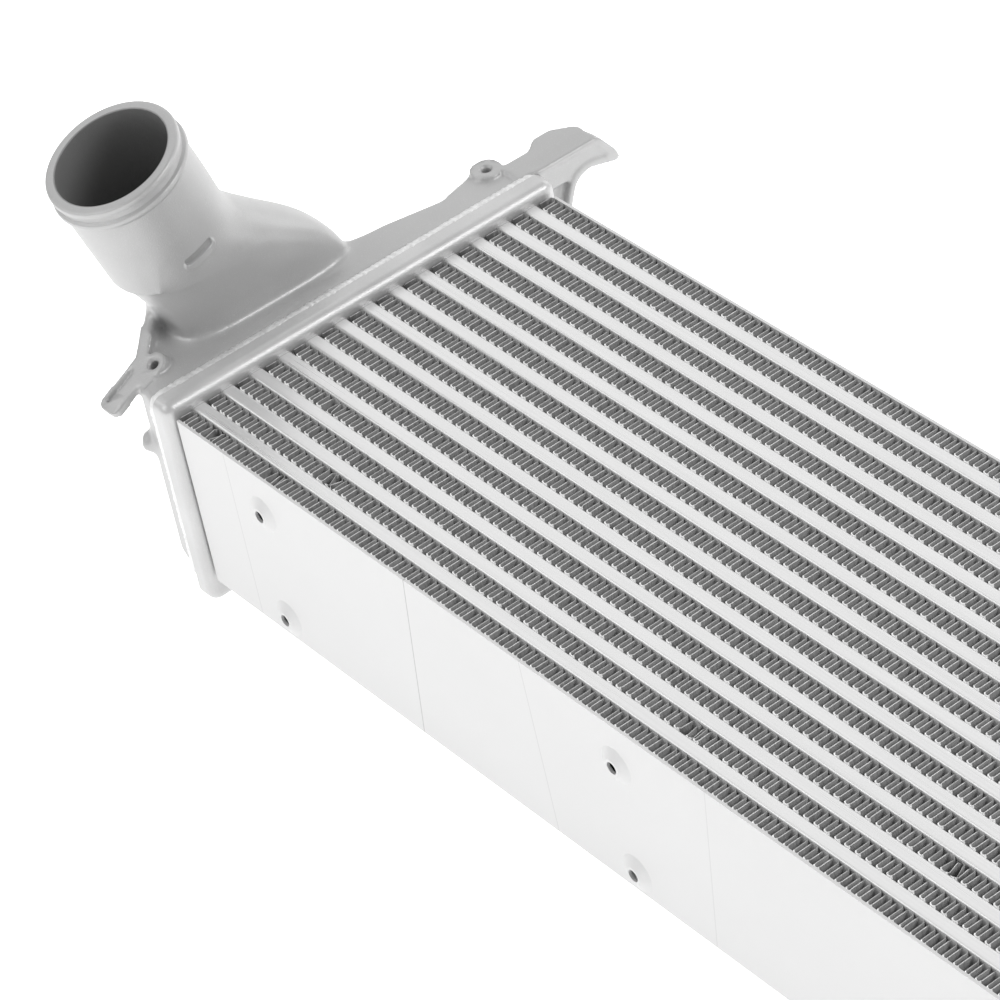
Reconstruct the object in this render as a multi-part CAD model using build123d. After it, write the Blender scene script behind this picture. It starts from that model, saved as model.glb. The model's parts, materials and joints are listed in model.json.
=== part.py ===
from build123d import *
import math
import os

# Charge air cooler: a brazed tube and fin core with a cast aluminium tank welded on each end.
# All sizes are millimetres. While it is built, the middle of the core is the zero point:
# X runs along the tubes, Y across the stack and Z out of the finned face.

# Core
core_length = 670.0
core_depth = 100.0
tube_count = 13
tube_height = 7.8
tube_wall = 1.0
tube_corner = 1.6
tube_end_reach = 2.0
fin_height = 9.4
fin_wave = 6.6
fin_sheet = 0.7
fin_recess = 1.3
fin_end_gap = 1.2
turbulator_wave = 8.0
turbulator_sheet = 0.5
turbulator_end_gap = 6.0
braze_gap = 0.02

# Side plates with pressed holes
plate_thickness = 1.5
plate_end_gap = 3.0
dimple_base_radius = 10.0
dimple_top_radius = 4.6
dimple_height = 2.6
dimple_hole_radius = 3.2
dimple_end_distance = 67.5
dimple_spacing_z = 64.6
dimple_middle_z = -6.3

# Header pans
header_rise = 7.0
header_side_lap = 3.5
header_depth = 14.0
header_drop = 9.0
header_wall = 3.5
header_edge_radius = 6.0
header_rim_chamfer = 2.2

# Tank body, with distances u measured outwards from the header's front face
tank_wall = 4.0
tank_step = 1.5
tank_corner_u = 36.0
tank_corner_set_back = 6.0
tank_deep_u = 69.0
tank_deep_y = -76.0
tank_shallow_u = 36.5
tank_shallow_y = 76.0
tank_plan_radius = 12.0
tank_edge_radius = 5.0
weld_width = 3.0
weld_inset = 0.7

# Neck
neck_outer_radius = 34.3
neck_bore_radius = 30.1
neck_foot_step = 1.0
neck_length = 64.0
neck_bead_height = 2.1
neck_bead_from_lip = 9.8
neck_bead_half = 4.0
neck_lip_height = 1.1
neck_lip_width = 4.6
neck_lip_round = 2.2
neck_tilt = 18.1
neck_u = 52.0
neck_y = -69.6
neck_z = 104.4

# Hood between the roof and the neck. Each level gives its near and far side as a distance in Y
# from the neck's foot and a height over the roof, then its front and back u, then how square
# its outline is, where 2 is a circle.
hood_levels = [
    ((-1, -41), (73, -41), (33, 50), 4),
    ((-9, -14), (84, -14), (31, 64), 5),
    ((-11, 1), (89, 1), (31, 71), 4.5),
    ((-18, 18), (74, 24), (28, 77), 3.2),
    ((-26, 32), (55, 40), (23, 82), 2.4),
]
hood_steps = 32

# Bosses with threaded holes
boss_radius = 7.0
boss_u = 34.4
boss_y = 104.0
boss_rise = 2.5
boss_height = 20.0
far_boss_radius = 8.5
gusset_front_u = 30.0
gusset_start_y = 78.0
gusset_drop = 0.6
thread_radius = 2.5
thread_depth = 14.0
thread_mouth_radius = 3.6
thread_mouth_depth = 1.1
ear_tilt = 28.0
ear_rib_width = 7.6
ear_rib_inset = 0.3
ear_rib_foot = 12.0

# Cut that runs the near lug's bevelled face on over the roof
bevel_inner = 4.0
bevel_front = 8.0
bevel_run = 40.0
bevel_rise = 12.0

# Near strap and near nub
strap_front_u = 33.0
strap_width = 15.0
strap_thickness = 4.0
strap_reach = 32.0
strap_corner = 4.5
groove_width = 2.6
groove_depth = 2.2
groove_length = 24.0
groove_back_inset = 4.0
nub_radius = 5.8
nub_z = 15.0
nub_reach = 2.0
nub_round = 1.5
nub_turn = -45.0

# Far arm. Its side is given as distances in Y from its root and heights over its top face,
# its shelf as distances u and distances in Y from the root.
arm_front_u = 12.0
arm_web_front_u = 17.0
arm_web_thickness = 4.0
arm_flange = 4.0
arm_crown_radius = 10.0
arm_hollow_radius = 12.0
arm_side_points = [(0, 0), (40.5, 0), (51, -14.5), (52.5, -19), (50.5, -21), (26, -14), (18.5, -33), (0, -84)]
arm_crown = 1
arm_hollow = 5
shelf_points = [(13, -9), (30, -9), (29.5, 9), (36.5, 18), (36.5, 28), (28, 40), (13, 40)]
shelf_back = slice(1, 6)
shelf_corner = 4.5
shelf_ridge_u = 23.0
shelf_slope = 7.0
lug_gap = 0.3

# Raised slot mark on the front of the neck
mark_from_foot = 10.5
mark_length = 18.5
mark_width = 5.5
mark_height = 0.8
mark_rim = 1.4

stack_height = tube_count * tube_height + (tube_count + 1) * fin_height
layer_pitch = tube_height + fin_height
half_length = core_length / 2
half_stack = stack_height / 2
half_depth = core_depth / 2
tube_length = core_length + 2 * (header_wall + tube_end_reach)
header_half_y = half_stack + plate_thickness + header_side_lap
header_half_z = half_depth + header_rise
tank_half_y = header_half_y - tank_step
tank_half_z = header_half_z - tank_step
roof_z = tank_half_z
arm_root_y = tank_half_y - tank_wall / 2


def at(u, y, z):
    """A point of the inlet end, u outwards from the header's front face."""
    return Vector(-half_length - u, y, z)


def zigzag(length, height, wave, sheet):
    """The closed outline of a folded strip, centred, with its folds along the first axis."""
    half_wave = wave / 2
    folds = int(length // half_wave)
    start = -folds * half_wave / 2
    crest = (height - sheet) / 2
    line = [(start + i * half_wave, crest if i % 2 else -crest) for i in range(folds + 1)]
    upper = [(x, y + sheet / 2) for x, y in line]
    lower = [(x, y - sheet / 2) for x, y in reversed(line)]
    return make_face(Polyline(*upper, *lower, close=True))


def fin_strip():
    """One folded air fin, as long as the core and nearly as deep."""
    outline = zigzag(core_length - 2 * fin_end_gap, fin_height - 2 * braze_gap, fin_wave, fin_sheet)
    return extrude(outline, amount=half_depth - fin_recess, both=True)


def flat_tube():
    """One extruded tube, open at both ends."""
    inside = tube_height - 2 * tube_wall
    outer = RectangleRounded(core_depth, tube_height, tube_corner)
    inner = RectangleRounded(core_depth - 2 * tube_wall, inside, tube_corner - tube_wall / 2)
    return Rot(0, 90, 0) * extrude(outer - inner, amount=tube_length / 2, both=True)


def turbulator():
    """The folded strip inside a tube, with its folds side by side across the depth."""
    height = tube_height - 2 * tube_wall - 2 * braze_gap
    depth = core_depth - 2 * tube_wall - 2 * tube_corner
    outline = zigzag(depth, height, turbulator_wave, turbulator_sheet)
    return Rot(0, 90, 0) * extrude(outline, amount=tube_length / 2 - turbulator_end_gap, both=True)


def tube_y(index):
    return -half_stack + fin_height + tube_height / 2 + index * layer_pitch


def fin_y(index):
    return -half_stack + fin_height / 2 + index * layer_pitch


def dimple(inset):
    """A pressed cone that stands out of a side plate, or its hollow when it is inset."""
    cone = Cone(dimple_base_radius - inset, dimple_top_radius - inset / 2, dimple_height)
    return Rot(90, 0, 0) * Pos(0, 0, dimple_height / 2 - inset) * cone


def side_plate():
    """The near side plate: a flat sheet with pressed holes in three pairs."""
    length = core_length - 2 * plate_end_gap
    plate = Pos(0, plate_thickness / 2, 0) * Box(length, plate_thickness, core_depth)
    end_x = half_length - dimple_end_distance
    low = dimple_middle_z - dimple_spacing_z / 2
    high = dimple_middle_z + dimple_spacing_z / 2
    for place in [Pos(x, 0, z) for x in (-end_x, 0, end_x) for z in (low, high)]:
        back_opening = Rot(90, 0, 0) * Cylinder(dimple_base_radius / 2, plate_thickness)
        plate += place * dimple(0)
        plate -= place * dimple(plate_thickness)
        plate -= place * Pos(0, plate_thickness, 0) * back_opening
        plate -= place * Rot(90, 0, 0) * Cylinder(dimple_hole_radius, 4 * dimple_height)
    return Pos(0, -half_stack - plate_thickness, 0) * plate


def header_block(start, depth, inset, drop=0):
    """A rounded block as large as the header less an inset, from u = start outwards.

    With a drop its lower side hangs further down.
    """
    size_y = 2 * (header_half_y - inset)
    size_z = 2 * (header_half_z - inset) + drop
    radius = max(header_edge_radius - inset, 1.0)
    plane = Plane(at(start, 0, -drop / 2), x_dir=(0, 1, 0), z_dir=(-1, 0, 0))
    return extrude(plane * RectangleRounded(size_y, size_z, radius), amount=depth)


def header_pan():
    """The pan that holds the tube ends, open towards the tank."""
    pan = header_block(0, header_depth, 0, header_drop)
    pan = fillet(pan.faces().sort_by(Axis.X)[-1].edges(), header_edge_radius - 0.5)
    pan = chamfer(pan.faces().sort_by(Axis.X)[0].edges(), header_rim_chamfer)
    pan -= header_block(header_wall, header_depth, header_wall)
    slot = RectangleRounded(core_depth + 2 * braze_gap, tube_height + 2 * braze_gap, tube_corner)
    cut = Rot(0, 90, 0) * extrude(slot, amount=2 * header_wall, both=True)
    for index in range(tube_count):
        pan -= Pos(-half_length, tube_y(index), 0) * cut
    return pan


def tank_plan(inset):
    """The tank seen from above, inset by a wall. It is deepest beside the neck."""
    near = -tank_half_y + inset
    far = tank_half_y - inset
    points = [
        at(header_depth, near, 0),
        at(tank_corner_u - inset / 2, near + tank_corner_set_back, 0),
        at(tank_deep_u - inset, tank_deep_y + inset / 2, 0),
        at(tank_shallow_u - inset, tank_shallow_y, 0),
        at(tank_shallow_u - inset, far, 0),
        at(header_depth, far, 0),
    ]
    outline = make_face(Polyline(*points, close=True))
    rim_x = at(header_depth, 0, 0).X
    corners = [v for v in outline.vertices() if v.X < rim_x - 1]
    return fillet(corners, tank_plan_radius - inset)


def tank_block(inset):
    """The tank's outer form, or its hollow when it is inset."""
    half = tank_half_z - inset
    block = Pos(0, 0, -half) * extrude(tank_plan(inset), amount=2 * half)
    rim_x = at(header_depth, 0, 0).X
    ends = [block.faces().sort_by(Axis.Z)[0], block.faces().sort_by(Axis.Z)[-1]]
    edges = [edge for face in ends for edge in face.edges() if edge.center().X < rim_x - 0.5]
    return fillet(edges, max(tank_edge_radius - inset, 1.0))


def hood_section(near_point, far_point, span, squareness, inset):
    """One closed section of the hood: a rounded rectangle, or a circle at squareness 2."""
    run_y = far_point[0] - near_point[0]
    run_z = far_point[1] - near_point[1]
    half_y = math.hypot(run_y, run_z) / 2 - inset
    half_u = (span[1] - span[0]) / 2 - inset
    middle = at(sum(span) / 2, near_point[0] + run_y / 2, near_point[1] + run_z / 2)
    plane = Plane(middle, x_dir=(0, run_y, run_z), z_dir=(0, -run_z, run_y))
    power = 2 / squareness
    points = []
    for step in range(hood_steps):
        angle = 2 * math.pi * step / hood_steps
        across = math.copysign(abs(math.cos(angle)) ** power, math.cos(angle))
        along = math.copysign(abs(math.sin(angle)) ** power, math.sin(angle))
        points.append((half_y * across, half_u * along))
    return plane * make_face(Spline(*points, periodic=True))


def hood(inset):
    """The hood between the tank's roof and the neck, with a long toe towards the far end."""
    lean = math.radians(neck_tilt)
    foot_radius = neck_outer_radius + neck_foot_step
    reach_y = foot_radius * math.cos(lean)
    reach_z = foot_radius * math.sin(lean)
    foot_near = (neck_y - reach_y, neck_z - reach_z)
    foot_far = (neck_y + reach_y, neck_z + reach_z)
    foot_span = (neck_u - foot_radius, neck_u + foot_radius)
    sections = []
    for near, far, span, squareness in hood_levels:
        near_point = (neck_y + near[0], roof_z + near[1])
        far_point = (neck_y + far[0], roof_z + far[1])
        sections.append(hood_section(near_point, far_point, span, squareness, inset))
    sections.append(hood_section(foot_near, foot_far, foot_span, 2, inset))
    return loft(sections)


def neck_plane():
    """The plane at the neck's foot, its normal along the neck."""
    lean = math.radians(neck_tilt)
    across = (0, math.cos(lean), math.sin(lean))
    along = (0, -math.sin(lean), math.cos(lean))
    return Plane(at(neck_u, neck_y, neck_z), x_dir=across, z_dir=along)


def neck():
    """The neck as a solid of revolution: a tube, a hose bead and a thicker rounded lip."""
    radius = neck_outer_radius
    lip_radius = radius + neck_lip_height
    lip_start = neck_length - neck_lip_width
    round_start = neck_length - neck_lip_round
    bead = neck_length - neck_bead_from_lip
    turn = neck_lip_round * (1 - math.sqrt(0.5))
    outline = Curve() + [
        Polyline((0, 0, neck_length), (0, 0, 0), (radius, 0, 0), (radius, 0, bead - neck_bead_half)),
        ThreePointArc(
            (radius, 0, bead - neck_bead_half),
            (radius + neck_bead_height, 0, bead),
            (radius, 0, bead + neck_bead_half),
        ),
        Line((radius, 0, bead + neck_bead_half), (lip_radius, 0, lip_start)),
        Line((lip_radius, 0, lip_start), (lip_radius, 0, round_start)),
        ThreePointArc(
            (lip_radius, 0, round_start),
            (lip_radius - turn, 0, neck_length - turn),
            (lip_radius - neck_lip_round, 0, neck_length),
        ),
        Line((lip_radius - neck_lip_round, 0, neck_length), (0, 0, neck_length)),
    ]
    return neck_plane().location * revolve(make_face(outline), Axis.Z)


def neck_bore():
    return neck_plane().location * Pos(0, 0, neck_length / 2) * Cylinder(neck_bore_radius, neck_length)


def thread_hole():
    """A blind threaded hole with a chamfered mouth, its mouth at zero and its axis along Z."""
    shaft = Pos(0, 0, -thread_depth / 2) * Cylinder(thread_radius, thread_depth)
    mouth_run = thread_mouth_radius - thread_radius
    mouth = Cone(thread_radius, thread_radius + mouth_run, thread_mouth_depth)
    return shaft + Pos(0, 0, -thread_mouth_depth / 2) * mouth


def ear_plane():
    """The bevelled face of the near lug, through the mouth of its threaded hole."""
    lean = math.radians(ear_tilt)
    across = (0, math.cos(lean), math.sin(lean))
    along = (0, -math.sin(lean), math.cos(lean))
    return Plane(at(boss_u, -boss_y, roof_z + boss_rise), x_dir=across, z_dir=along)


def above_ear():
    """Everything over the lug's bevelled face, at the near end only."""
    size = 2 * boss_y
    return ear_plane().location * Pos(0, 0, size / 2) * Box(size, size, size)


def ear_boss():
    """The boss of the near lug, which reaches into the tank."""
    return ear_plane().location * Pos(0, 0, -boss_height / 2) * Cylinder(boss_radius, boss_height)


def ear():
    """The near lug: an upright rib along the tank's slanted end, with its boss."""
    start = at(tank_corner_u, -tank_half_y + tank_corner_set_back, 0)
    end = at(tank_deep_u, tank_deep_y, 0)
    run = end - start
    height = 2 * header_rise + ear_rib_foot
    rib = Pos(-ear_rib_width / 2, -ear_rib_inset, height / 2 - ear_rib_foot)
    rib *= Box(run.length - ear_rib_width, ear_rib_width, height)
    middle = (start + end) * 0.5
    turn = math.degrees(math.atan2(run.Y, run.X))
    rib = Pos(middle.X, middle.Y, roof_z) * Rot(0, 0, turn) * rib
    return rib - above_ear() + ear_boss()


def strap():
    """The grooved strap that reaches out of the near lug, in line with its bevelled face."""
    middle_u = strap_front_u + strap_width / 2
    outline = RectangleRounded(2 * strap_reach, strap_width, strap_corner)
    plate = extrude(outline, amount=-strap_thickness)
    plate -= Pos(strap_reach / 2, 0, 0) * Box(strap_reach, 2 * strap_width, 3 * strap_thickness)
    back = strap_width / 2 - groove_back_inset
    middle = -strap_reach + groove_back_inset + groove_length / 2
    plate -= Pos(middle, back, 0) * extrude(SlotOverall(groove_length, groove_width), amount=-groove_depth)
    place = Pos(at(middle_u, 0, 0).X - at(boss_u, 0, 0).X, 0, 0) * ear_plane().location
    return place * plate


def nub():
    """The round casting nub on the near end."""
    length = 2 * (tank_wall + nub_reach)
    middle = at(tank_corner_u, -tank_half_y + tank_corner_set_back + nub_reach / 2, nub_z)
    knob = fillet(Cylinder(nub_radius, length).edges(), nub_round)
    return Pos(*middle) * Rot(0, 0, nub_turn) * Rot(90, 0, 0) * knob


def far_boss():
    """The upright boss at the far end, with a gusset from its back to the tank's wall."""
    top = roof_z + boss_rise
    boss = Pos(*at(boss_u, boss_y, top - boss_height / 2)) * Cylinder(far_boss_radius, boss_height)
    floor = top - boss_height
    corners = [
        at(gusset_front_u, gusset_start_y, floor),
        at(tank_shallow_u, gusset_start_y, floor),
        at(boss_u + far_boss_radius, boss_y, floor),
        at(gusset_front_u, boss_y, floor),
    ]
    web = make_face(Polyline(*corners, close=True))
    gusset = extrude(web, amount=boss_height - boss_rise - gusset_drop, dir=(0, 0, 1))
    return boss + gusset


def arm_side():
    """The far arm seen along the tubes: a beak with a hollowed underside."""
    points = [(arm_root_y + y, roof_z + boss_rise + z) for y, z in arm_side_points]
    outline = make_face(Polyline(*points, close=True))
    for corner, radius in ((arm_crown, arm_crown_radius), (arm_hollow, arm_hollow_radius)):
        point = Vector(*points[corner], 0)
        outline = fillet(outline.vertices().sort_by_distance(point)[0], radius)
    return outline


def far_arm():
    """The far bracket arm: a web with a flange all round and a wide shelf on top."""
    side = arm_side()
    stand = Plane.YZ.offset(at(arm_web_front_u + arm_web_thickness, 0, 0).X).location
    rim = side - offset(side, -arm_flange)
    web = stand * extrude(side, amount=arm_web_thickness)
    flange = stand * extrude(rim, amount=arm_web_front_u + arm_web_thickness - arm_front_u)
    points = [at(u, arm_root_y + y, roof_z + boss_rise) for u, y in shelf_points]
    outline = make_face(Polyline(*points, close=True))
    corners = [outline.vertices().sort_by_distance(point)[0] for point in points[shelf_back]]
    shelf = extrude(fillet(corners, shelf_corner), amount=-arm_flange)
    ridge = Pos(*at(shelf_ridge_u, arm_root_y, roof_z + boss_rise)) * Rot(0, shelf_slope, 0)
    size = 2 * boss_y
    over_slope = ridge * Pos(size / 2, 0, size / 2) * Box(size, size, size)
    return web + flange + shelf - over_slope - header_block(-1, header_depth + 1, -lug_gap)


def slot_mark():
    """The raised slot cast on the front of the neck, with its recess."""
    front = neck_plane().location * Pos(0, -neck_outer_radius, mark_from_foot) * Rot(90, 0, 0)
    outer = extrude(SlotOverall(mark_length, mark_width), amount=2 * mark_height)
    inner = SlotOverall(mark_length - 2 * mark_rim, mark_width - 2 * mark_rim)
    return front * (Pos(0, 0, -mark_height) * outer - extrude(inner, amount=2 * mark_height))


def bevel():
    """What is cut away over the near lug so that its bevelled face runs on over the roof."""
    middle = Pos(bevel_inner - bevel_run / 2, bevel_run / 2 - bevel_front, bevel_rise / 2)
    return ear_plane().location * middle * Box(bevel_run, bevel_run, bevel_rise)


def tank():
    """One cast tank with its neck, lugs and brackets."""
    shell = tank_block(0) + hood(0) + neck() - bevel()
    shell = shell + ear() + far_boss() + nub() + strap() + far_arm() + slot_mark()
    hollow = tank_block(tank_wall) + header_block(header_depth - 1, 2, tank_step + tank_wall)
    hollow += hood(neck_outer_radius - neck_bore_radius)
    hollow += neck_bore()
    shell -= hollow - ear_boss() - far_boss()
    shell -= ear_plane().location * thread_hole()
    shell -= Pos(*at(boss_u, boss_y, roof_z + boss_rise)) * thread_hole()
    return shell


def weld(pan, cast):
    """The weld bead in the step between a header pan and its tank."""
    ring = header_block(header_depth - header_rim_chamfer, header_rim_chamfer + weld_width, weld_inset)
    ring -= header_block(0, 2 * header_depth, tank_step + tank_wall / 2)
    return ring - pan - cast


def build_nodes():
    """Every piece in its place, by name, about the middle of the core."""
    pan = header_pan()
    cast = tank()
    bead = weld(pan, cast)
    plate = side_plate()
    nodes = {
        "inlet_tank": cast,
        "outlet_tank": mirror(cast, about=Plane.YZ),
        "inlet_header": pan,
        "outlet_header": mirror(pan, about=Plane.YZ),
        "inlet_weld": bead,
        "outlet_weld": mirror(bead, about=Plane.YZ),
        "side_plate_near": plate,
        "side_plate_far": mirror(plate, about=Plane.XZ),
    }
    tube = flat_tube()
    strip = turbulator()
    for index in range(tube_count):
        place = Pos(0, tube_y(index), 0)
        nodes[f"tube_{index + 1:02d}"] = place * tube
        nodes[f"turbulator_{index + 1:02d}"] = place * strip
    fin = fin_strip()
    for index in range(tube_count + 1):
        nodes[f"fin_{index + 1:02d}"] = Pos(0, fin_y(index), 0) * fin
    return nodes


def stand_on_floor(nodes):
    """Move every piece so that the middle of the whole part's base is the zero point."""
    boxes = [shape.bounding_box() for shape in nodes.values()]
    middle_x = (min(b.min.X for b in boxes) + max(b.max.X for b in boxes)) / 2
    middle_y = (min(b.min.Y for b in boxes) + max(b.max.Y for b in boxes)) / 2
    base = min(b.min.Z for b in boxes)
    print("the core's middle is at", -middle_x, -middle_y, -base)
    return {name: Pos(-middle_x, -middle_y, -base) * shape for name, shape in nodes.items()}


os.makedirs("parts", exist_ok=True)
for name, shape in stand_on_floor(build_nodes()).items():
    export_step(shape, f"parts/{name}.step")
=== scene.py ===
# %% [markdown]
# # A charge air cooler in a white studio
# The cooler is a core of flat tubes and folded fins between two cast tanks. Its exact solids come
# from the imported CAD model, which is the frame that everything here is fitted to. Blender adds
# what the solids leave out: soft casting blends, folded foil, weld beads and real surfaces.
# The frame's own helpers load the model.

# %% Load the frame
import json
import math
import random

import bmesh
import bpy
import numpy as np
from mathutils import Matrix, Vector
from mathutils.bvhtree import BVHTree


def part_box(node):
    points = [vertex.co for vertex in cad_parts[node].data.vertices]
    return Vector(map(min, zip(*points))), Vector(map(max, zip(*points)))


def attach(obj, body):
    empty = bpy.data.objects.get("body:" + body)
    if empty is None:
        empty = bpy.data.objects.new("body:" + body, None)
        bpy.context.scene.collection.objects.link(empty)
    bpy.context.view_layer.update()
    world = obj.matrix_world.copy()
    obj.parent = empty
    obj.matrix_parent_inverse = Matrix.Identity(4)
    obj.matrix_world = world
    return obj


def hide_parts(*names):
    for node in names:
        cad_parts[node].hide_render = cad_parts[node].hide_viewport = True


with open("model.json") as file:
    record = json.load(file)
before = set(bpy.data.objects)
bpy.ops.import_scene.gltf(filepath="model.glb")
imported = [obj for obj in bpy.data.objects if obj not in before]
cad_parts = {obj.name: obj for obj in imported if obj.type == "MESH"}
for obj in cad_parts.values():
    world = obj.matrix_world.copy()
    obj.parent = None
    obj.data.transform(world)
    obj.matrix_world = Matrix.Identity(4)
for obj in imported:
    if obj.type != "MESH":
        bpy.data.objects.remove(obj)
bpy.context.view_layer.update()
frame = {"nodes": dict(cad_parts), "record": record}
nodes = frame["nodes"]
scene = bpy.context.scene
MM = 0.001
print("frame:", len(nodes), "nodes")

# %% [markdown]
# The model stands on its lowest point, but everything in a cooler is arranged about the middle of
# its core. That middle is found from the two side plates, and places are then given from it
# in millimetres: X along the tubes, Y across them and Z out of the finned face.

# %% The middle of the core
near_low, near_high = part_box("side_plate_near")
far_low, far_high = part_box("side_plate_far")
core_middle = (near_low + near_high + far_low + far_high) / 4


def from_middle(x, y, z):
    """The place of a point that is given in millimetres from the middle of the core."""
    return core_middle + MM * Vector((x, y, z))


print("core middle:", [round(value, 5) for value in core_middle])

# %% [markdown]
# ## The camera
# The photograph is taken with a long lens from above the near corner, so the tubes stay almost
# parallel. A long lens far away gives this look, a short one close up would make the near
# plate swell. The three vectors are the picture's right, its down and the way the lens looks.

# %% Camera
camera_place = from_middle(1370.7, -964.0, 1424.4)
picture_right = Vector((0.6088747, 0.7762433, -0.1634563))
picture_down = Vector((0.4077662, -0.4830136, -0.7748707))
look = Vector((-0.6804398, 0.4051472, -0.6106206))
lens = bpy.data.cameras.new("camera")
lens.sensor_width = 36
lens.lens = 175.395
lens.clip_start = 0.1
lens.clip_end = 50
camera = bpy.data.objects.new("camera", lens)
turn = Matrix((picture_right, -picture_down, -look)).transposed()
camera.matrix_world = Matrix.Translation(camera_place) @ turn.to_4x4()
scene.collection.objects.link(camera)
scene.camera = camera
print("camera:", round(lens.lens, 1), "mm lens")

# %% [markdown]
# ## Sums that build nodes
# Materials and Geometry Nodes are both graphs of small sums. Linking every Math node by hand is
# slow to read, so one small class wraps a socket and lets Python's own operators add the
# nodes. Every other node comes from one method that takes its settings and its inputs.

# %% A graph that is written as sums
class Graph:
    """A node tree that is filled by calls."""

    def __init__(self, tree):
        self.tree = tree
        tree.nodes.clear()

    def node(self, kind, inputs=None, output=0, **settings):
        """Add a node, set it, feed its sockets and return one of its outputs."""
        node = self.tree.nodes.new(kind)
        for name, value in settings.items():
            setattr(node, name, value)
        for key, value in (inputs or {}).items():
            if isinstance(value, Value):
                self.tree.links.new(value.socket, node.inputs[key])
            else:
                node.inputs[key].default_value = value
        return Value(self, node.outputs[output] if len(node.outputs) else None)

    def math(self, operation, *values):
        return self.node("ShaderNodeMath", dict(enumerate(values)), operation=operation)

    def mix(self, factor, first, second):
        """A colour between two colours."""
        inputs = {0: factor, 6: first, 7: second}
        return self.node("ShaderNodeMix", inputs, 2, data_type="RGBA")


class Value:
    """A socket that Python arithmetic works on."""

    def __init__(self, graph, socket):
        self.graph = graph
        self.socket = socket

    def out(self, name):
        """Another output of the same node."""
        return Value(self.graph, self.socket.node.outputs[name])

    def __add__(self, other):
        return self.graph.math("ADD", self, other)

    def __radd__(self, other):
        return self.graph.math("ADD", other, self)

    def __sub__(self, other):
        return self.graph.math("SUBTRACT", self, other)

    def __rsub__(self, other):
        return self.graph.math("SUBTRACT", other, self)

    def __mul__(self, other):
        return self.graph.math("MULTIPLY", self, other)

    def __rmul__(self, other):
        return self.graph.math("MULTIPLY", other, self)

    def __truediv__(self, other):
        return self.graph.math("DIVIDE", self, other)

    def size(self):
        return self.graph.math("ABSOLUTE", self)

    def between(self, low, high):
        """0 below low, 1 above high and a smooth rise in between."""
        inputs = {0: self, 1: low, 2: high}
        return self.graph.node("ShaderNodeMapRange", inputs, interpolation_type="SMOOTHSTEP")


# %% [markdown]
# ## The studio
# A cut-out catalogue picture has a pure white ground and large soft lights. The floor glows
# a little, so that it turns white without a hard lamp, and its light comes back up onto the
# metal as it would from a light table. Metal shows what it faces more than what lights it, so
# the softboxes stand where the surfaces mirror them towards the lens. The front and left ones
# brighten the near plate, the lug and the rounded tube edges, the back one the flat tube faces.
# The two smaller ones draw the bright lines along the rounded edges and the top of the hood.

# %% Floor and lights
floor_size = 12.0
floor_glow = 0.75
room_light = 0.45
aim = Vector((0.0, 0.0, 0.1))


def grey(value):
    return (value, value, value, 1)


def floor_material():
    material = bpy.data.materials.new("studio_floor")
    material.use_nodes = True
    graph = Graph(material.node_tree)
    place = graph.node("ShaderNodeTexCoord", output="Object")
    grain = graph.node("ShaderNodeTexNoise", {"Vector": place, "Scale": 3.0, "Detail": 2.0})
    colour = graph.mix(grain, grey(0.93), grey(0.95))
    surface = {
        "Base Color": colour,
        "Roughness": 0.9,
        "Emission Color": colour,
        "Emission Strength": floor_glow,
    }
    shader = graph.node("ShaderNodeBsdfPrincipled", surface)
    graph.node("ShaderNodeOutputMaterial", {"Surface": shader})
    return material


floor_mesh = bpy.data.meshes.new("studio_floor")
half = floor_size / 2
corners = [(-half, -half, 0), (half, -half, 0), (half, half, 0), (-half, half, 0)]
floor_mesh.from_pydata(corners, [], [(0, 1, 2, 3)])
floor_mesh.materials.append(floor_material())
floor = bpy.data.objects.new("studio_floor", floor_mesh)
scene.collection.objects.link(floor)


def softbox(name, place, size, power):
    """A square area light that faces the cooler."""
    light = bpy.data.lights.new(name, "AREA")
    light.size = size
    light.energy = power
    box = bpy.data.objects.new(name, light)
    box.location = place
    box.rotation_euler = (aim - Vector(place)).to_track_quat("-Z", "Y").to_euler()
    scene.collection.objects.link(box)


softbox("front_softbox", (-0.7, -2.7, 2.4), 2.0, 21)
softbox("left_softbox", (-2.1, -1.55, 1.95), 1.5, 9)
softbox("far_softbox", (-0.9, 3.0, 1.3), 1.6, 15)
softbox("edge_softbox", (2.0, 1.5, 2.0), 1.3, 34)
softbox("back_softbox", (-2.7, 1.6, 2.5), 4.2, 33)
world = bpy.data.worlds.new("studio_air")
world.use_nodes = True
air = world.node_tree.nodes["Background"]
air.inputs["Color"].default_value = grey(1.0)
air.inputs["Strength"].default_value = room_light
scene.world = world
scene.view_settings.view_transform = "Standard"
print("studio: floor, five softboxes and a pale room")

# %% [markdown]
# ## Places on the cast tank
# Several steps need to know where the neck, its slot mark and the threaded holes are, so these
# places are named once. The neck is a straight tube, so any point is described well by two numbers:
# how far it lies along the neck and how far out from its axis.

# %% Places
neck_lean = math.radians(18.1)
neck_foot = from_middle(-387, -69.6, 104.4)
neck_axis = Vector((0, -math.sin(neck_lean), math.cos(neck_lean)))
neck_radius = 34.3 * MM
bore_radius = 30.1 * MM
neck_length = 64 * MM
near_thread = from_middle(-369.4, -104, 58)
far_thread = from_middle(-369.4, 104, 58)
slot_height = 10.5
slot_middle = neck_foot + neck_axis * slot_height * MM
slot_middle.x += neck_radius
header_face = -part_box("inlet_header")[1].x
print("header face:", round(header_face, 4))

# %% [markdown]
# ## Metals
# All pieces are aluminium, but each was made in another way and shows it. The cast tanks are
# sprayed with a satin paint that has a fine orange peel, with painted shade in the bores and in
# the slot's recess. Tubes are extruded, so fine lines run along them. Plates are rolled sheet
# with faint seams. Foil fins are painted dark as painted shade, because little light reaches their
# faces, and carry painted highlights on their edges and bends. One function makes the shader
# from a paint, which gives its colour and roughness, and a relief.

# %% One aluminium shader
def object_place(graph):
    return graph.node("ShaderNodeTexCoord", output="Object")


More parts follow.
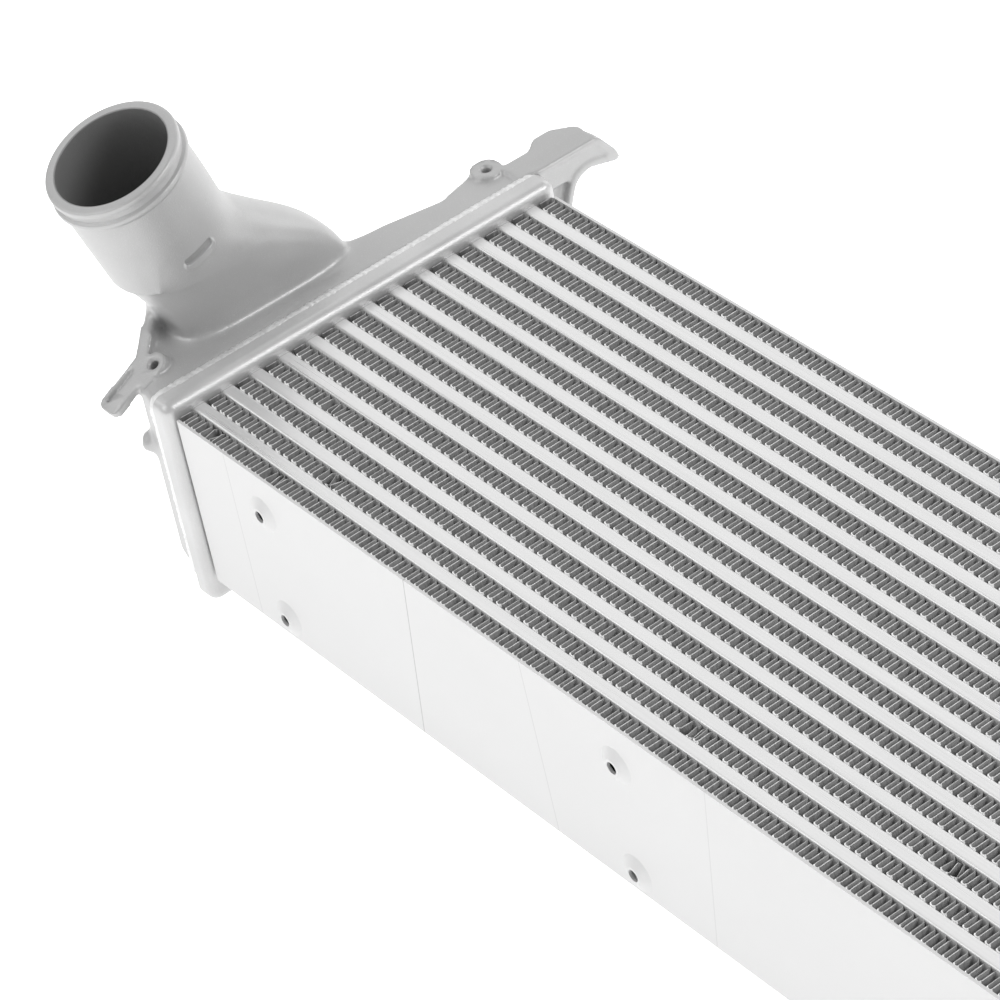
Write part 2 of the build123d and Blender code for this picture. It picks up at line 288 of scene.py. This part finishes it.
def split(graph):
    """The object coordinates as three values."""
    x = graph.node("ShaderNodeSeparateXYZ", {0: object_place(graph)})
    return x, x.out("Y"), x.out("Z")


def noise(graph, scale, detail=3.0, roughness=0.5):
    """A noise with its own scale along each axis."""
    place = graph.node("ShaderNodeMapping", {"Vector": object_place(graph), "Scale": scale})
    inputs = {"Vector": place, "Scale": 1.0, "Detail": detail, "Roughness": roughness}
    return graph.node("ShaderNodeTexNoise", inputs)


def vector_math(graph, operation, *inputs, **named):
    values = dict(enumerate(inputs))
    values.update(named)
    output = "Value" if operation in ("DOT_PRODUCT", "LENGTH") else "Vector"
    return graph.node("ShaderNodeVectorMath", values, output, operation=operation)


def metal(name, paint, relief, depth, metallic):
    """An aluminium with a paint, a relief of the given depth and a metallic share."""
    material = bpy.data.materials.new(name)
    material.use_nodes = True
    graph = Graph(material.node_tree)
    colour, roughness = paint(graph)
    bump = graph.node("ShaderNodeBump", {"Height": relief(graph), "Distance": depth, "Strength": 1.0})
    surface = {"Base Color": colour, "Metallic": metallic, "Roughness": roughness, "Normal": bump}
    shader = graph.node("ShaderNodeBsdfPrincipled", surface)
    graph.node("ShaderNodeOutputMaterial", {"Surface": shader})
    return material


# %% Sprayed and rough surfaces
def inside_bore(graph):
    """1 in the neck's bore and in the same bore of the other end, which get painted shade."""
    x, y, z = split(graph)
    place = graph.node("ShaderNodeCombineXYZ", {0: 0 - x.size(), 1: y, 2: z})
    away = vector_math(graph, "SUBTRACT", place, neck_foot)
    height = vector_math(graph, "DOT_PRODUCT", away, neck_axis)
    along = vector_math(graph, "SCALE", neck_axis, Scale=height)
    radius = vector_math(graph, "LENGTH", vector_math(graph, "SUBTRACT", away, along))
    above_foot = height.between(0.0, 6 * MM)
    return above_foot * (1 - radius.between(bore_radius + 0.2 * MM, bore_radius + 0.9 * MM))


def cast_paint(graph):
    patch = noise(graph, (22, 22, 22), 4.0).between(0.3, 0.7)
    speck = noise(graph, (1700, 1700, 1700), 1.0).between(0.62, 0.75)
    recess = graph.node("ShaderNodeAttribute", output="Fac", attribute_name="recess")
    colour = graph.mix(patch, grey(0.49), grey(0.53))
    colour = graph.mix(0.3 * speck, colour, grey(0.75))
    # painted shade: the floor of the slot's recess is darkened
    colour = graph.mix(0.5 * recess, colour, grey(0.2))
    # painted shade: the bore is darkened almost to black, since little light reaches into it
    colour = graph.mix(0.6 * inside_bore(graph), colour, grey(0.12))
    return colour, 0.36 + 0.06 * patch


def cast_relief(graph):
    return noise(graph, (1500, 1500, 1500), 2.0) + 0.6 * noise(graph, (300, 300, 300), 2.0)


def header_paint(graph):
    patch = noise(graph, (40, 40, 40), 4.0).between(0.3, 0.7)
    speck = noise(graph, (1700, 1700, 1700), 1.0).between(0.62, 0.75)
    colour = graph.mix(patch, grey(0.60), grey(0.66))
    return graph.mix(0.3 * speck, colour, grey(0.8)), 0.35 + 0.06 * patch


def weld_paint(graph):
    patch = noise(graph, (300, 300, 300), 4.0).between(0.3, 0.7)
    return graph.mix(patch, grey(0.76), grey(0.92)), 0.34 + 0.12 * patch


# %% Drawn, rolled and folded surfaces
def lines_along(graph):
    return noise(graph, (4, 700, 60), 3.0).between(0.3, 0.7)


def tube_paint(graph):
    """Bright drawn metal, with a thin line where the spray on the header ends."""
    x, y, z = split(graph)
    line = lines_along(graph)
    cloud = noise(graph, (14, 50, 50), 3.0).between(0.3, 0.7)
    out = x.size() - header_face
    sprayed = out.between(-9 * MM, -1 * MM)
    edge = 1 - (out + 1.2 * MM).size().between(0.15 * MM, 0.45 * MM)
    colour = graph.mix(line, grey(0.78), grey(0.84))
    colour = graph.mix(0.25 * cloud, colour, grey(0.74))
    colour = graph.mix(0.35 * sprayed, colour, grey(0.5))
    colour = graph.mix(0.5 * edge, colour, grey(0.35))
    return colour, 0.27 + 0.06 * line + 0.1 * sprayed


def sheet_relief(graph):
    return noise(graph, (500, 500, 500), 2.0)


# %% [markdown]
# The near plate shows four faint seams, each a straight line that may lean a little. A line's
# place at half height and its lean are enough, because the distance from it is one subtraction.

# %% Plate seams
plate_seams = ((-293.3, 0.0, 0.25), (-155.6, 0.123, 0.6), (-61.5, -0.043, 0.25), (59.4, 0.125, 0.2))


def plate_paint(graph):
    x, y, z = split(graph)
    patch = noise(graph, (9, 9, 14), 4.0).between(0.2, 0.8)
    colour = graph.mix(patch, grey(0.70), grey(0.73))
    for middle, lean, strength in plate_seams:
        away = (x - middle * MM - lean * (z - core_middle.z)).size()
        seam = 1 - away.between(0.1 * MM, 0.5 * MM)
        colour = graph.mix(strength * seam, colour, grey(0.3))
    return colour, 0.42 + 0.06 * patch


def foil_patches(graph):
    return noise(graph, (400, 400, 90), 3.0).between(0.25, 0.75)


def foil_paint(graph):
    """Walls painted dark as shade, painted highlights on the top edges and far bends, painted glints on
    the near bends.
    """
    rise = graph.node("ShaderNodeAttribute", output="Fac", attribute_name="rise")
    across = graph.node("ShaderNodeAttribute", output="Fac", attribute_name="across")
    fold = graph.node("ShaderNodeAttribute", output="Fac", attribute_name="fold")
    # painted highlight: the top edges of the foil are lightened where they would catch the light
    rim_highlight = rise.size().between(0.4960, 0.4985) * (1 - 0.9 * across.between(0.4, 0.9))
    rim_highlight = rim_highlight * (1 - 0.3 * (0 - across).between(0.7, 0.95))
    # painted light: the upper part of each far bend is lightened
    far = rise.between(0.42, 0.49) * across.between(0.6, 0.95)
    # painted glint: a bright spot on top of each near bend
    near_bend_glint = rise.between(0.478, 0.483) * (0 - across).between(0.72, 0.86)
    # painted shade: the walls are nearly black because little light reaches between the folds
    colour = graph.mix(foil_patches(graph), grey(0.11), grey(0.155))
    colour = graph.mix(0.4 * far, colour, grey(0.6))
    colour = graph.mix(0.35 * rim_highlight + 0.3 * rim_highlight * fold, colour, grey(0.9))
    return graph.mix(near_bend_glint, colour, grey(1.0)), 0.42 + 0.1 * foil_patches(graph)


metals = {
    "cast_aluminium": metal("cast_aluminium", cast_paint, cast_relief, 0.00011, 0.35),
    "header_aluminium": metal("header_aluminium", header_paint, cast_relief, 0.00012, 0.4),
    "weld_aluminium": metal("weld_aluminium", weld_paint, cast_relief, 0.0003, 0.5),
    "plate_aluminium": metal("plate_aluminium", plate_paint, sheet_relief, 0.00002, 0.2),
    "tube_aluminium": metal("tube_aluminium", tube_paint, lines_along, 0.000004, 0.55),
    "turbulator_aluminium": metal("turbulator_aluminium", weld_paint, sheet_relief, 0.00003, 0.7),
    "fin_aluminium": metal("fin_aluminium", foil_paint, foil_patches, 0.0001, 0.35),
}
slot_of = {entry["node"]: entry["material_slot"] for entry in frame["record"]["subparts"]}
for name, node in nodes.items():
    node.data.materials.clear()
    node.data.materials.append(metals[slot_of[name]])
print("metals:", len(metals))

# %% [markdown]
# ## Pieces from solids
# A cast tank has no sharp inner corners: sand or die, metal and a fettler's belt round
# everything. Melting a copy of the exact solid into small voxels and relaxing the result
# gives such blends everywhere at once, where a bevel would have to be told about each edge.
# The machined places, which are the neck with its bead and the threaded holes, are pulled back
# onto the solid afterwards, so they stay crisp.

# %% Helpers for pieces
def settle(piece):
    """Turn a piece's modifiers into plain mesh."""
    shape = piece.evaluated_get(bpy.context.evaluated_depsgraph_get())
    mesh = bpy.data.meshes.new_from_object(shape)
    piece.modifiers.clear()
    piece.data = mesh
    return piece


def new_piece(name, mesh):
    piece = bpy.data.objects.new(name, mesh)
    scene.collection.objects.link(piece)
    return piece


def joined_copy(node, name):
    """A copy of a CAD node's mesh with its loose triangles joined."""
    mesh = nodes[node].data.copy()
    work = bmesh.new()
    work.from_mesh(mesh)
    bmesh.ops.remove_doubles(work, verts=work.verts, dist=1e-6)
    work.to_mesh(mesh)
    work.free()
    return new_piece(name, mesh)


def points_of(mesh):
    points = np.empty(len(mesh.vertices) * 3)
    mesh.vertices.foreach_get("co", points)
    return points.reshape(-1, 3)


def face_outwards(piece):
    """Turn a closed piece's faces so that they all look out."""
    work = bmesh.new()
    work.from_mesh(piece.data)
    bmesh.ops.recalc_face_normals(work, faces=work.faces)
    work.to_mesh(piece.data)
    work.free()


def finish_piece(piece, slot, *replaced):
    """Give a piece its metal, let it ride on the model and hide the solid that it stands for."""
    face_outwards(piece)
    piece.data.materials.clear()
    piece.data.materials.append(metals[slot])
    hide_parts(*replaced)
    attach(piece, "root")
    triangles = sum(len(face.vertices) - 2 for face in piece.data.polygons)
    print(piece.name + ":", triangles, "triangles")


# %% How the tank's solid softens into a casting
voxel = 1.05 * MM
relax_rounds = 150
slot_reach = 13
most_triangles = 190000


def along_neck(points):
    """Distances along the neck from its foot, and out from its axis."""
    axis = np.array(neck_axis)
    away = points - np.array(neck_foot)
    height = away @ axis
    radius = np.linalg.norm(away - height[:, None] * axis, axis=1)
    return height, radius


def ease(values, low, high):
    """A smooth rise from 0 at low to 1 at high."""
    share = np.clip((values - low) / (high - low), 0, 1)
    return share * share * (3 - 2 * share)


def near_to(points, place, low, high):
    """1 around a place, falling to 0 between two distances in millimetres."""
    return 1 - ease(np.linalg.norm(points - np.array(place), axis=1), low * MM, high * MM)


def softness(points):
    """How freely each point may relax: 0 on machined faces, 1 in the blend around the hood.

    Bare distances are millimetres from the middle of the core."""
    x, y, z = ((points - np.array(core_middle)) / MM).T
    height, radius = along_neck(points)
    soft = np.full(len(points), 0.12)
    hood = ease(y, -106, -86) * (1 - ease(y, 31, 49)) * (1 - ease(np.abs(z - 57.5), 8, 20))
    foot = (1 - ease(np.abs(height / MM), 13, 22)) * ease(radius, 32 * MM, 33 * MM)
    soft = np.maximum(soft, np.maximum(0.4 * hood, foot))
    lugs = ((y > 97) & (z > -37)) | ((y < -93) & (z > 35)) | (y < -111)
    soft[lugs] = 0.02
    soft[(y < -122) & (z > 20)] = 0.0
    knob = near_to(points, from_middle(-371, -115, 15), 9, 14)
    soft = np.maximum(soft, 0.25 * knob)
    neck = ease(height, 19 * MM, 27 * MM) * (1 - ease(radius, 38 * MM, 42 * MM))
    soft *= 1 - neck
    for thread in (near_thread, far_thread):
        soft *= 1 - near_to(points, thread, 7.5, 10)
    return soft


def relax(mesh, soft, rounds):
    """Move each point towards the middle of its neighbours, by its own softness."""
    points = points_of(mesh)
    edges = np.empty(len(mesh.edges) * 2, int)
    mesh.edges.foreach_get("vertices", edges)
    first, second = edges.reshape(-1, 2).T
    count = np.bincount(edges, minlength=len(points))
    for _ in range(rounds):
        middle = np.empty_like(points)
        for axis in range(3):
            middle[:, axis] = np.bincount(first, points[second, axis], len(points))
            middle[:, axis] += np.bincount(second, points[first, axis], len(points))
        points += 0.5 * soft[:, None] * (middle / count[:, None] - points)
    mesh.vertices.foreach_set("co", points.ravel())
    mesh.update()


def refine(mesh, place, reach):
    """Cut the faces around a place into nine, so that small relief can show."""
    work = bmesh.new()
    work.from_mesh(mesh)
    chosen = {
        edge
        for point in work.verts
        if (point.co - place).length < reach * MM
        for edge in point.link_edges
    }
    bmesh.ops.subdivide_edges(work, edges=list(chosen), cuts=2, use_grid_fill=True)
    bmesh.ops.triangulate(work, faces=[face for face in work.faces if len(face.verts) > 4])
    work.to_mesh(mesh)
    work.free()


def pull_back(mesh, tree, chosen):
    """Put the chosen points back onto the solid."""
    points = points_of(mesh)
    for index in np.flatnonzero(chosen):
        found = tree.find_nearest(Vector(points[index]))[0]
        if found:
            points[index] = found
    mesh.vertices.foreach_set("co", points.ravel())
    mesh.update()


# %% [markdown]
# The slot mark on the neck is too fine for the voxels. It is pressed in after the melt, from
# the distance to a slot with round ends: a low pad with a recess in its upper half. The neck's
# end is turned on a lathe later, so here it only has to vanish inside that sleeve.

# %% The slot mark and the neck's end
sleeve_start = 28 * MM
sleeve_cover = 0.7 * MM
pad_size = (19.5, 7.6)
pad_rise = 0.6
recess_size = (17.0, 3.6)
recess_depth = 1.4


def slot_distance(along, across, size):
    """The distance from the edge of a slot with round ends, negative inside."""
    length, width = size
    past_end = np.maximum(np.abs(along) - (length - width) / 2, 0)
    return np.hypot(past_end, across) - width / 2


def press_slot(mesh):
    """Raise the pad, sink the recess and mark the recess for its painted shade."""
    points = points_of(mesh)
    height, radius = along_neck(points)
    across = np.array(neck_axis.cross(Vector((1, 0, 0))))
    along = (points - np.array(neck_foot)) @ across / MM
    up = height / MM - slot_height
    pad = pad_rise * (1 - ease(slot_distance(along, up + 1.4, pad_size), -0.5, 0.5))
    recess = recess_depth * (1 - ease(slot_distance(along, up - 0.9, recess_size), -0.4, 0.4))
    front = (points[:, 0] > neck_foot.x + 20 * MM) & (radius > 33 * MM)
    points[front, 0] += (pad - recess)[front] * MM
    mesh.vertices.foreach_set("co", points.ravel())
    shade = mesh.attributes.new("recess", "FLOAT", "POINT")
    shade.data.foreach_set("value", np.where(front, recess / recess_depth, 0.0))
    mesh.update()


def hide_in_sleeve(mesh):
    """Sink the end of the neck into the middle of its own wall."""
    points = points_of(mesh)
    height, radius = along_neck(points)
    axis = np.array(neck_axis)
    away = points - np.array(neck_foot) - height[:, None] * axis
    inner = np.clip(radius, bore_radius + sleeve_cover, neck_radius - sleeve_cover)
    lower = np.minimum(height, neck_length - sleeve_cover - 1 * MM)
    sunk = np.array(neck_foot) + lower[:, None] * axis + away * (inner / radius)[:, None]
    chosen = (height > sleeve_start + 1.5 * MM) & (radius < 45 * MM)
    points[chosen] = sunk[chosen]
    mesh.vertices.foreach_set("co", points.ravel())
    mesh.update()


# %% [markdown]
# The far arm is hollow towards the core, but its upper part is shallow: the casting is thick
# there and only a small window below stays deep. A prism fills that upper part before the melt,
# which then joins the two.

# %% The thick part of the far arm
arm_fill = ((117, 57), (157, 57), (167.5, 40), (144.5, 45.8), (139, 40.5), (117, 40.5))
arm_fill_front = -348.3
arm_fill_back = -352.6


def fill_arm(mesh):
    """Add the prism to the tank's mesh."""
    work = bmesh.new()
    work.from_mesh(mesh)
    rings = [
        [work.verts.new(from_middle(x, y, z)) for y, z in arm_fill]
        for x in (arm_fill_front, arm_fill_back)
    ]
    sides = len(arm_fill)
    prism = [work.faces.new(ring) for ring in rings]
    for side in range(sides):
        after = (side + 1) % sides
        prism.append(work.faces.new((rings[0][side], rings[0][after], rings[1][after], rings[1][side])))
    bmesh.ops.recalc_face_normals(work, faces=prism)
    work.to_mesh(mesh)
    work.free()


# %% Melt and relax
casting = joined_copy("inlet_tank", "inlet_casting")
solid = bmesh.new()
solid.from_mesh(casting.data)
solid_tree = BVHTree.FromBMesh(solid)
fill_arm(casting.data)
melt = casting.modifiers.new("melt", "REMESH")
melt.mode = "VOXEL"
melt.voxel_size = voxel
melt.use_smooth_shade = True
settle(casting)
soft = softness(points_of(casting.data))
relax(casting.data, soft, relax_rounds)
pull_back(casting.data, solid_tree, soft < 0.01)
refine(casting.data, slot_middle, slot_reach)
press_slot(casting.data)
hide_in_sleeve(casting.data)
solid.free()
print("casting:", len(casting.data.vertices), "points")

# %% Thin the casting and mirror it for the other end
thin = casting.modifiers.new("thin", "DECIMATE")
thin.ratio = min(1.0, most_triangles / (2 * len(casting.data.polygons)))
settle(casting)
for face in casting.data.polygons:
    face.use_smooth = True


def mirrored(piece, name):
    """A copy of a piece on the other side of the middle, with its faces turned outwards again."""
    mesh = piece.data.copy()
    work = bmesh.new()
    work.from_mesh(mesh)
    for point in work.verts:
        point.co.x = -point.co.x
    bmesh.ops.reverse_faces(work, faces=work.faces)
    work.to_mesh(mesh)
    work.free()
    return new_piece(name, mesh)


other_casting = mirrored(casting, "outlet_casting")
finish_piece(casting, "cast_aluminium", "inlet_tank")
finish_piece(other_casting, "cast_aluminium", "outlet_tank")

# %% [markdown]
# ## Turned places
# The neck's end and the threaded holes were cut on machines, so they are turned here as well: a
# profile of distances out and along is spun about an axis. The sleeve carries the hose bead
# and the lip. Each thread is a saw-toothed bore under a chamfer.

# %% A lathe
def arc(middle, radius, first, last, steps):
    """Points on an arc, as (out, along), between two angles in degrees."""
    points = []
    for step in range(steps + 1):
        angle = math.radians(first + (last - first) * step / steps)
        points.append((middle[0] + radius * math.cos(angle), middle[1] + radius * math.sin(angle)))
    return points


def turned(name, profile, place, axis, segments):
    """Spin a closed profile in millimetres about an axis."""
    frame_turn = axis.to_track_quat("Z", "Y").to_matrix()
    rings = len(profile)
    points = []
    for segment in range(segments):
        angle = 2 * math.pi * segment / segments
        for out, along in profile:
            spot = Vector((out * math.cos(angle), out * math.sin(angle), along)) * MM
            points.append(place + frame_turn @ spot)
    faces = []
    for segment in range(segments):
        after = (segment + 1) % segments
        for ring in range(rings):
            above = (ring + 1) % rings
            faces.append((
                segment * rings + ring,
                after * rings + ring,
                after * rings + above,
                segment * rings + above,
            ))
    mesh = bpy.data.meshes.new(name)
    mesh.from_pydata(points, [], faces)
    mesh.polygons.foreach_set("use_smooth", [True] * len(faces))
    mesh.update()
    mesh.set_sharp_from_angle(angle=math.radians(35))
    return new_piece(name, mesh)


# %% The neck's sleeve
neck_out = neck_radius / MM + 0.03
bore_out = bore_radius / MM - 0.12
lip_out = neck_out + 1.1
lip_top = neck_length / MM - 0.3
bead_crest = neck_out + 2.0
bead_middle = lip_top - 9.6
sleeve_profile = (
    [(neck_out - 1.6, sleeve_start / MM), (neck_out, sleeve_start / MM), (neck_out, bead_middle - 4.6)]
    + arc((neck_out + 1.2, bead_middle - 3.6), 1.2, 190, 135, 3)
    + arc((bead_crest - 2.6, bead_middle - 0.2), 2.6, -42, 30, 6)
    + arc((bead_crest - 1.0, bead_middle + 0.9), 0.8, 20, 80, 3)
    + [(neck_out + 0.15, bead_middle + 2.3), (neck_out + 0.05, lip_top - 4.4)]
    + [(neck_out + 0.15, lip_top - 3.9)]
    + arc((lip_out - 0.6, lip_top - 3.1), 0.6, -80, 0, 3)
    + arc((lip_out - 1.4, lip_top - 1.4), 1.4, 0, 90, 5)
    + arc((bore_out + 0.5, lip_top - 0.5), 0.5, 90, 180, 4)
    + [(bore_out, 40), (bore_out, sleeve_start / MM), (bore_out + 1.6, sleeve_start / MM)]
)
sleeve = turned("inlet_neck_sleeve", sleeve_profile, neck_foot, neck_axis, 144)
finish_piece(mirrored(sleeve, "outlet_neck_sleeve"), "cast_aluminium", "outlet_tank")
finish_piece(sleeve, "cast_aluminium", "inlet_tank")

# %% The threads
lug_lean = math.radians(28)
lug_axis = Vector((0, -math.sin(lug_lean), math.cos(lug_lean)))
thread_pitch = 1.0
thread_outer = 4.0
thread_crest = 2.45
thread_root = 2.95
thread_profile = [(thread_outer, 0.04), (thread_outer - 0.3, 0.06), (2.75, -0.95)]
for turn_number in range(11):
    depth = -1.2 - turn_number * thread_pitch
    thread_profile += [(thread_crest, depth), (thread_root, depth - thread_pitch / 2)]
thread_profile += [(thread_crest, -12.4), (0.05, -12.9), (0.05, -13.4), (thread_outer, -13.4)]
for end, place, axis in (("near", near_thread, lug_axis), ("far", far_thread, Vector((0, 0, 1)))):
    thread = turned("inlet_" + end + "_thread", thread_profile, place, axis, 40)
    finish_piece(mirrored(thread, "outlet_" + end + "_thread"), "cast_aluminium", "outlet_tank")
    finish_piece(thread, "cast_aluminium", "inlet_tank")

# %% [markdown]
# ## Weld beads
# A bead of weld joins each tank to its header. It follows a rounded rectangle, and its ripples
# are a short wave along that path with a slower unevenness on top. It is lumpiest at the near
# upper corner, where the seam started.

# %% Lay the weld beads
weld_middle = 348.3
weld_half_y = 119.3
weld_half_z = 54.8
weld_corner = 5.5
weld_step = 0.9
weld_flatness = 1.55
weld_start = Vector((0, -119, 49))


def rounded_path(half_y, half_z, corner, step):
    """Points around a rounded rectangle and the way out at each, in millimetres."""
    path = []
    corners = ((1, 1, 0), (-1, 1, 90), (-1, -1, 180), (1, -1, 270))
    for index, (side_y, side_z, first) in enumerate(corners):
        middle = Vector((0, side_y * (half_y - corner), side_z * (half_z - corner)))
        for part in range(9):
            angle = math.radians(first + 90 * part / 8)
            out = Vector((0, math.cos(angle), math.sin(angle)))
            path.append((middle + corner * out, out))
        next_y, next_z, _ = corners[(index + 1) % 4]
        start = path[-1][0]
        end = Vector((0, next_y * (half_y - corner), next_z * (half_z - corner))) + corner * out
        count = int((end - start).length // step)
        path += [(start.lerp(end, part / count), out) for part in range(1, count)]
    return path


def weld_bead(name, thickness, sides):
    """A bead with an uneven round section along the rounded rectangle."""
    path = rounded_path(weld_half_y, weld_half_z, weld_corner, weld_step)
    wave = random.Random(4)
    phases = [wave.uniform(0, 6.3) for _ in range(3)]
    points = []
    for index, (place, out) in enumerate(path):
        slow = math.sin(index * 0.13 + phases[0]) + math.sin(index * 0.31 + phases[1])
        start_lump = math.exp(-((place - weld_start).length / 9) ** 2)
        ripple = 0.05 * math.sin(index * 1.7) + 0.03 * slow + 0.06 * wave.uniform(-1, 1)
        radius = thickness * (1 + ripple)
        radius *= 1 + start_lump * (0.12 + 0.12 * math.sin(index * 1.1)) - 0.1 * abs(out.y)
        for side in range(sides):
            angle = 2 * math.pi * side / sides
            spot = place + radius * math.cos(angle) * out
            spot.x -= weld_middle + weld_flatness * radius * math.sin(angle)
            points.append(from_middle(*spot))
    count = len(path)
    faces = [
        (
            index * sides + side,
            index * sides + (side + 1) % sides,
            (index + 1) % count * sides + (side + 1) % sides,
            (index + 1) % count * sides + side,
        )
        for index in range(count)
        for side in range(sides)
    ]
    mesh = bpy.data.meshes.new(name)
    mesh.from_pydata(points, [], faces)
    mesh.polygons.foreach_set("use_smooth", [True] * len(faces))
    mesh.update()
    return new_piece(name, mesh)


bead = weld_bead("inlet_weld_bead", 2.4, 16)
finish_piece(mirrored(bead, "outlet_weld_bead"), "weld_aluminium", "outlet_weld")
finish_piece(bead, "weld_aluminium", "inlet_weld")

# %% [markdown]
# ## Folded fins
# Between two tubes lies one long strip of foil, folded back and forth in tight U bends. It is
# one rule repeated some two hundred times, so Geometry Nodes make it: a flat grid is counted
# off column by column, and each column finds out whether it lies on a straight wall or on a
# bend. A small random lean of each fold keeps the strip from looking machined.

# %% The fin as a tree
bend_steps = 6


def random_value(graph, given, index):
    """A random number from -1 to 1 for each index."""
    inputs = {2: -1.0, 3: 1.0, "ID": index, "Seed": given.out("Seed")}
    return graph.node("FunctionNodeRandomValue", inputs, 1, data_type="FLOAT")


def bell(x, middle, given):
    """1 at the middle of a dent, falling off to both sides."""
    away = (x - middle) / given.out("Dent Width")
    return x.graph.math("EXPONENT", 0 - away * away)


def stored(graph, shape, name, value):
    inputs = {"Geometry": shape, "Name": name, "Value": value}
    return graph.node("GeometryNodeStoreNamedAttribute", inputs, data_type="FLOAT", domain="POINT")


def fin_tree():
    """The tree that folds a flat grid into one strip of fins."""
    tree = bpy.data.node_groups.new("folded_fin", "GeometryNodeTree")
    sizes = (
        "Start X", "Middle Y", "Middle Z", "Height", "Depth", "Fold Pitch", "Lean",
        "First Dent X", "Second Dent X", "Dent Width", "Dent Depth",
    )
    for name in sizes:
        tree.interface.new_socket(name, in_out="INPUT", socket_type="NodeSocketFloat")
    for name in ("Folds", "Seed"):
        tree.interface.new_socket(name, in_out="INPUT", socket_type="NodeSocketInt")
    tree.interface.new_socket("Foil", in_out="INPUT", socket_type="NodeSocketMaterial")
    tree.interface.new_socket("Fin", in_out="OUTPUT", socket_type="NodeSocketGeometry")
    graph = Graph(tree)
    given = graph.node("NodeGroupInput")
    columns = given.out("Folds") * (bend_steps + 1) + 1
    grid = graph.node(
        "GeometryNodeMeshGrid",
        {"Size X": columns - 1, "Size Y": 1.0, "Vertices X": columns, "Vertices Y": 2},
    )
    place = graph.node("ShaderNodeSeparateXYZ", {0: graph.node("GeometryNodeInputPosition")})
    column = graph.math("ROUND", place.out("X") + (columns - 1) * 0.5)
    fold = graph.math("FLOOR", (column + 0.5) / (bend_steps + 1))
    step = column - fold * (bend_steps + 1)
    angle = graph.math("MAXIMUM", step - 1, 0.0) * (math.pi / bend_steps)
    radius = given.out("Fold Pitch") * 0.5
    side = 1 - 2 * graph.math("MODULO", fold, 2.0)
    spread = radius * (1 + 0.16 * side)
    ahead = graph.math("COSINE", angle)
    ahead = ahead / graph.math("SQRT", ahead.size() + 0.001)
    bulge = graph.math("SQRT", graph.math("SINE", angle).size())
    starts = graph.math("LESS_THAN", step, 0.5)
    straight = given.out("Height") * 0.5 - radius
    top = graph.math("GREATER_THAN", place.out("Y"), 0.0)
    jitter = random_value(graph, given, fold * 2 + top)
    rough = random_value(graph, given, column * 2 + 7001)
    x = given.out("Start X") + fold * given.out("Fold Pitch") + radius - spread * ahead
    first_dent = bell(x, given.out("First Dent X"), given)
    second_dent = bell(x, given.out("Second Dent X"), given)
    dent = top * (first_dent + second_dent)
    sink = dent * given.out("Dent Depth")
    x = x + jitter * given.out("Lean") + sink * (0.8 + rough)
    across = side * (straight * (1 - 2 * starts) + radius * bulge)
    y = given.out("Middle Y") + across
    z = given.out("Middle Z") + place.out("Y") * given.out("Depth")
    uneven = top * (0.5 + 0.5 * jitter) * given.out("Lean")
    z = z - sink * (0.6 + 0.5 * rough) - uneven
    spot = graph.node("ShaderNodeCombineXYZ", {0: x, 1: y, 2: z})
    marked = stored(graph, grid, "rise", place.out("Y"))
    marked = stored(graph, marked, "across", across / (given.out("Height") * 0.5))
    marked = stored(graph, marked, "fold", side * 0.5 + 0.5)
    moved = graph.node("GeometryNodeSetPosition", {"Geometry": marked, "Position": spot})
    smooth = graph.node("GeometryNodeSetShadeSmooth", {"Geometry": moved})
    real = graph.node("GeometryNodeRealizeInstances", {"Geometry": smooth})
    foil = graph.node("GeometryNodeSetMaterial", {"Geometry": real, "Material": given.out("Foil")})
    graph.node("NodeGroupOutput", {"Fin": foil})
    return tree


def set_inputs(modifier, **values):
    """Set a tree's inputs by their sockets' identifiers."""
    for item in modifier.node_group.interface.items_tree:
        key = item.name.replace(" ", "_").lower()
        if item.item_type == "SOCKET" and item.in_out == "INPUT":
            modifier[item.identifier] = values[key]


# %% [markdown]
# A few folds were knocked over in handling. Each such dent is a place along a strip, counted
# in millimetres from the middle of the core, and the folds near it lean over and sink.

# %% Lay the fins
no_dent = -9000
dents = {
    "fin_01": (-312, -259),
    "fin_02": (-235, 30),
    "fin_03": (179, no_dent),
    "fin_04": (-280, no_dent),
}
fold_pitch = 3.3 * MM
foil_thickness = 0.3 * MM
fin_rise = 1.0 * MM
folded_fin = fin_tree()
fin_names = sorted(name for name in nodes if name.startswith("fin_"))
for number, node in enumerate(fin_names):
    low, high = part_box(node)
    length = high.x - low.x - foil_thickness
    folds = int(length // fold_pitch)
    strip = new_piece("folded_" + node, bpy.data.meshes.new("folded_" + node))
    fold_it = strip.modifiers.new("fold", "NODES")
    fold_it.node_group = folded_fin
    set_inputs(
        fold_it,
        start_x=(low.x + high.x - length) / 2,
        middle_y=(low.y + high.y) / 2,
        middle_z=(low.z + high.z) / 2,
        height=high.y - low.y - foil_thickness,
        depth=high.z - low.z + 2 * fin_rise,
        fold_pitch=length / folds,
        lean=0.25 * MM,
        first_dent_x=dents.get(node, (no_dent, no_dent))[0] * MM,
        second_dent_x=dents.get(node, (no_dent, no_dent))[1] * MM,
        dent_width=5.5 * MM,
        dent_depth=1.5 * MM,
        folds=folds,
        seed=number,
        foil=metals["fin_aluminium"],
    )
    wall = strip.modifiers.new("wall", "SOLIDIFY")
    wall.thickness = foil_thickness
    wall.offset = 0
    settle(strip)
    finish_piece(strip, "fin_aluminium", node)
